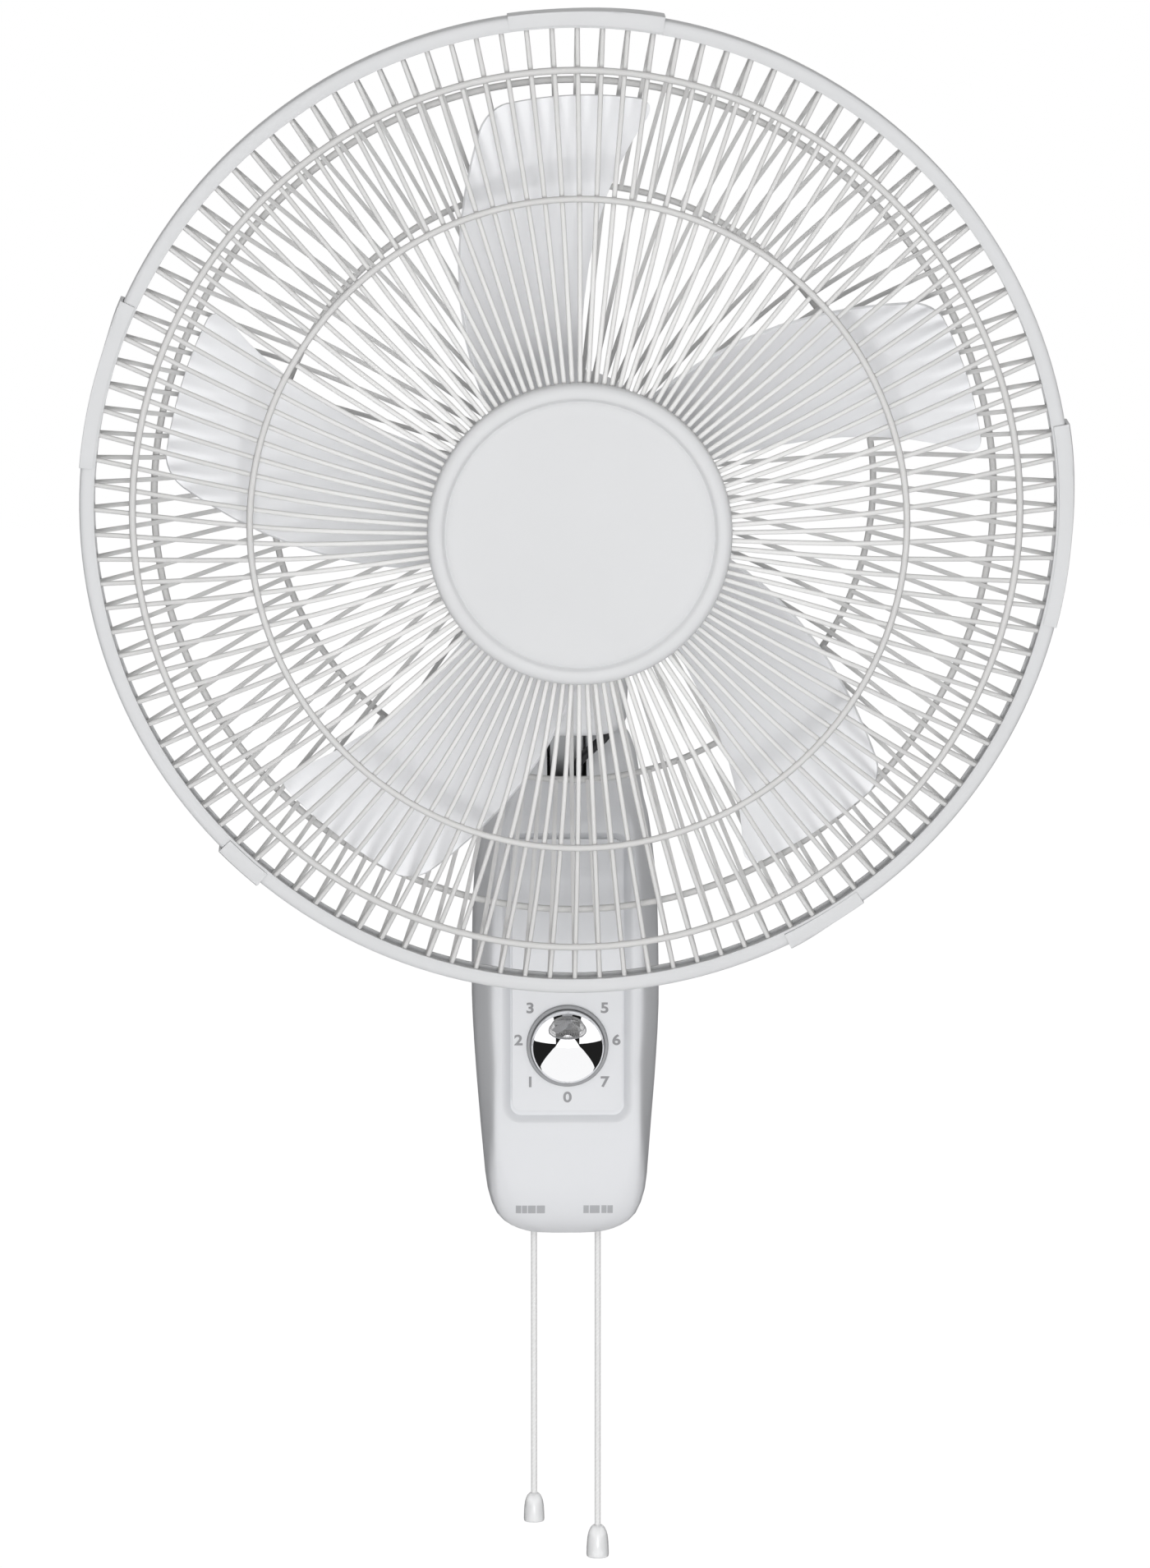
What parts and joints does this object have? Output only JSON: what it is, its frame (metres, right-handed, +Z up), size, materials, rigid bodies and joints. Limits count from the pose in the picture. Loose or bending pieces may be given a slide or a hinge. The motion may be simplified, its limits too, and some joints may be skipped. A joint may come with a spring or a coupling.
{
  "type": "wall mounted fan",
  "caption": "Wall fan with a round wire guard, five swept blades, a tilting and swinging head, and a slim column with a round knob and two pull cords.",
  "frame": {"origin": "middle of the wall plate's back face, on the wall", "axes": "+Z up, +Y into the wall, the fan blows towards -Y, +X to the right seen from the front"},
  "size_m": [0.4573, 0.3459, 0.7586],
  "materials": {
    "white_plastic": "white moulded plastic, satin gloss",
    "blade_plastic": "pale grey-white moulded plastic, gloss",
    "wire": "steel wire with a white coating",
    "chrome": "bright plated",
    "grey_plastic": "grey moulded plastic",
    "black_plastic": "black moulded plastic",
    "black_steel": "pressed steel, painted black",
    "steel": "plain steel",
    "alloy": "die-cast alloy, as cast",
    "core": "stacked electrical steel",
    "copper": "enamelled copper winding",
    "cord": "white twisted cord",
    "lead": "black sheathed flex",
    "bell": "translucent white plastic, glossy"
  },
  "bodies": {
    "wall_base": {"wall_plate": "steel", "rear_housing": "white_plastic", "front_housing": "white_plastic", "housing_screw_1": "steel", "housing_screw_2": "steel", "control_plate": "white_plastic", "timer_body": "grey_plastic", "knob_bezel": "grey_plastic", "speed_switch": "black_plastic", "swing_switch": "black_plastic", "cable_gland": "black_plastic", "run_capacitor": "black_plastic", "terminal_block": "grey_plastic", "tilt_bracket": "black_steel", "tilt_bolt": "steel", "tilt_nut": "steel", "tilt_washer_left": "black_plastic", "tilt_washer_right": "black_plastic"},
    "knob": {"timer_knob": "chrome", "timer_shaft": "steel"},
    "speed_pull": {"speed_cord": "cord", "speed_bell": "bell"},
    "swing_pull": {"swing_cord": "cord", "swing_bell": "bell"},
    "neck": {"neck_frame": "alloy", "neck_shell": "white_plastic", "swing_motor": "steel", "swing_bush": "alloy", "motor_lead": "lead"},
    "crank": {"swing_crank": "steel"},
    "link": {"swing_link": "steel"},
    "head": {"swing_post": "steel", "motor_cradle": "alloy", "front_shield": "alloy", "rear_shield": "alloy", "stator_core": "core", "stator_winding": "copper", "front_bearing": "steel", "rear_bearing": "steel", "motor_cover": "white_plastic", "rear_hub_plate": "wire", "guard_nut": "white_plastic", "rear_grille": "wire", "rear_mid_ring": "wire", "rear_outer_ring": "wire", "front_grille": "wire", "front_mid_ring": "wire", "front_outer_ring": "wire", "front_hub_ring": "white_plastic", "centre_cap": "white_plastic", "rim_band": "white_plastic", "rim_clip_1": "white_plastic", "rim_clip_2": "white_plastic", "rim_clip_3": "white_plastic", "rim_clip_4": "white_plastic", "rim_clip_5": "white_plastic"},
    "rotor": {"fan_blade": "blade_plastic", "motor_shaft": "steel", "rotor_core": "core", "spinner_nut": "white_plastic"}
  },
  "joints": [
    {"name": "head_tilt", "type": "hinge", "parent": "wall_base", "child": "neck", "pos_m": [0, -0.058, 0.096], "axis": [1, 0, 0], "range_deg": [-16, 24], "deforming": ["motor_lead"]},
    {"name": "head_swing", "type": "hinge", "parent": "neck", "child": "head", "pos_m": [0, -0.1035, 0.18606], "axis": [0, -0.1045, 0.9945], "range_deg": [-40, 40]},
    {"name": "crank_turn", "type": "hinge", "parent": "neck", "child": "crank", "pos_m": [0.0042, -0.07838, 0.17664], "axis": [0, -0.1045, 0.9945], "range_deg": [-62, 62]},
    {"name": "link_turn", "type": "hinge", "parent": "crank", "child": "link", "pos_m": [0.015, -0.07885, 0.18111], "axis": [0, -0.1045, 0.9945], "range_deg": [-62, 62]},
    {"name": "blade_spin", "type": "hinge", "parent": "head", "child": "rotor", "pos_m": [0, -0.26, 0.24], "axis": [0, 0.9945, 0.1045], "continuous": true},
    {"name": "knob_turn", "type": "hinge", "parent": "wall_base", "child": "knob", "pos_m": [0, -0.097, -0.031], "axis": [0, -1, 0], "range_deg": [0, 315]},
    {"name": "speed_pull_slide", "type": "slide", "parent": "wall_base", "child": "speed_pull", "axis": [0, 0, -1], "range_m": [0, 0.01], "stiffness_N_per_m": 300},
    {"name": "swing_pull_slide", "type": "slide", "parent": "wall_base", "child": "swing_pull", "axis": [0, 0, -1], "range_m": [0, 0.01], "stiffness_N_per_m": 300}
  ],
  "couplings": [
    {"joint": "crank_turn", "follows": "head_swing", "ratio": 1.5},
    {"joint": "link_turn", "follows": "head_swing", "ratio": -1.5}
  ]
}
